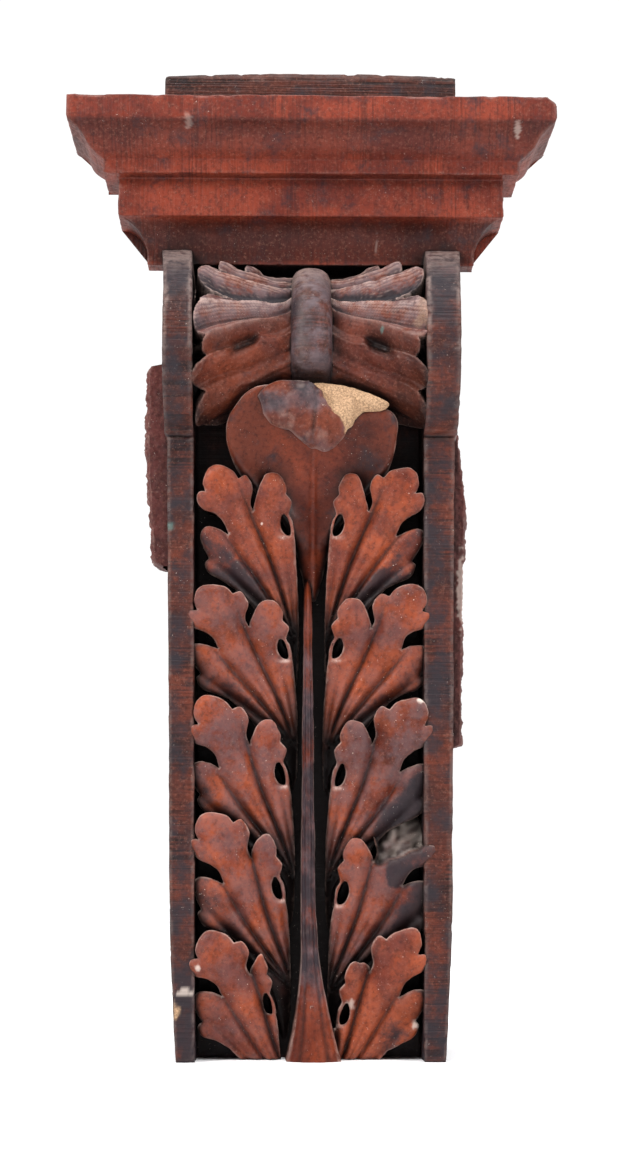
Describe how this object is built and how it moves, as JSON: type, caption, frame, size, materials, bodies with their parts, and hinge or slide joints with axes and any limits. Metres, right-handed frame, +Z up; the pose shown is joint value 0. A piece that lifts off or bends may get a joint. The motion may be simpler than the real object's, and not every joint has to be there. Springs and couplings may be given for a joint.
{
  "type": "keystone",
  "caption": "Weathered terracotta console keystone: moulded cap over a scroll bracket with paired acanthus leaves, broken leaf tip and rough side remains.",
  "frame": {"origin": "centre of the bounding box at the flat bottom the stone stands on", "axes": "+Z up the stone from its flat bottom to the bed block, -Y out of the carved front, +Y into the wall, +X to the viewer's right"},
  "size_m": [0.421, 0.215, 0.868],
  "materials": {
    "terracotta": "matte, unglazed, weathered red terracotta with sooty patina"
  },
  "bodies": {
    "root": {"keystone": "terracotta"}
  },
  "joints": []
}
